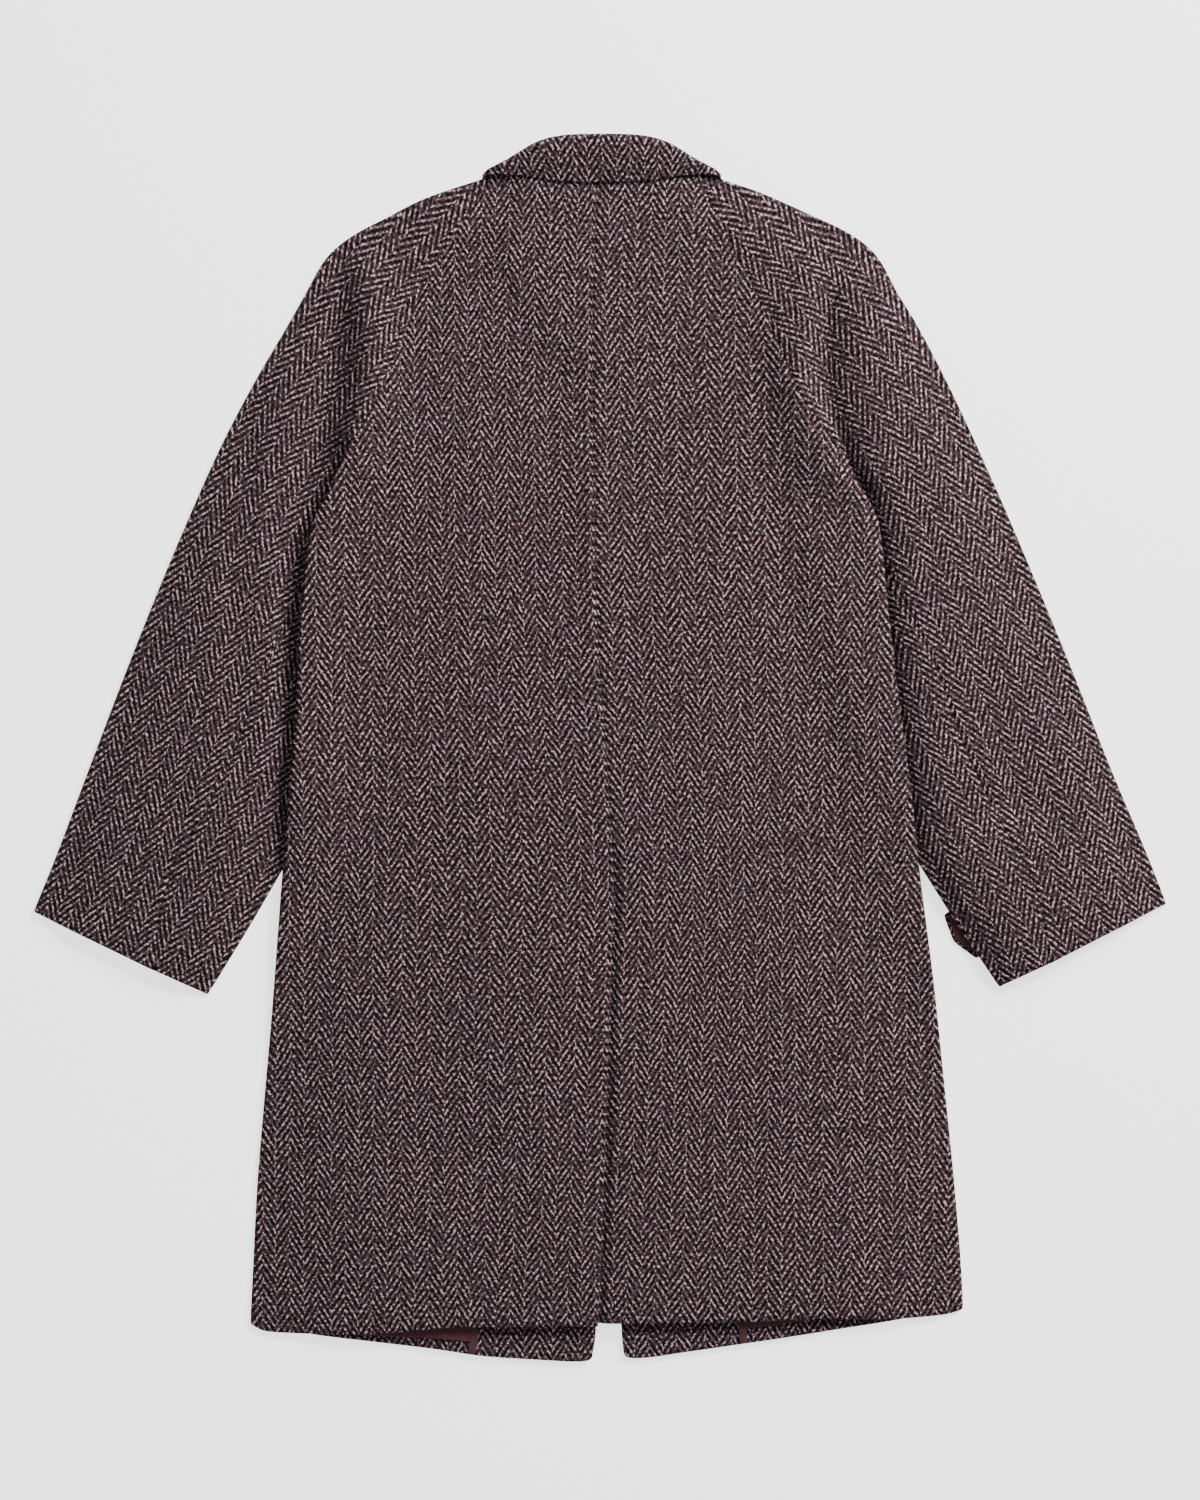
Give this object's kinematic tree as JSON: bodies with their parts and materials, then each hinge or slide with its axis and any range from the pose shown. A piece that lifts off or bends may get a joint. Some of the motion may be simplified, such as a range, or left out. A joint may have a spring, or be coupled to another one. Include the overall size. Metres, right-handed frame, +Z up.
{
  "type": "tweed overcoat",
  "caption": "Knee-length raglan herringbone tweed overcoat lying flat on its front, back upwards, with a turned-down collar, a centre vent and burgundy lining showing below the back hem.",
  "frame": {"origin": "middle of the coat's outline on the surface that it lies on", "axes": "+X across the coat towards its right sleeve as seen from above, +Y towards the collar, +Z up from the surface"},
  "size_m": [1, 1.0827, 0.0258],
  "materials": {
    "tweed": "woollen herringbone tweed, pale grey-pink twill lines on dark aubergine with sparse coloured flecks, matt with a short nap",
    "lining": "smooth burgundy lining cloth with a soft sheen"
  },
  "bodies": {
    "root": {"front_left": "tweed", "front_right": "tweed", "facing_left": "tweed", "facing_right": "tweed", "hem_turn_left": "tweed", "hem_turn_right": "tweed", "lining_left": "lining", "lining_right": "lining", "sleeve_back_left": "tweed", "sleeve_back_right": "tweed", "sleeve_under_left": "tweed", "sleeve_under_right": "tweed", "sleeve_front_left": "tweed", "sleeve_front_right": "tweed", "back_left": "tweed", "back_right": "tweed", "collar_leaf": "tweed", "collar_stand": "tweed", "cuff_tab_right": "tweed", "cuff_tab_lining_right": "lining"}
  },
  "joints": []
}
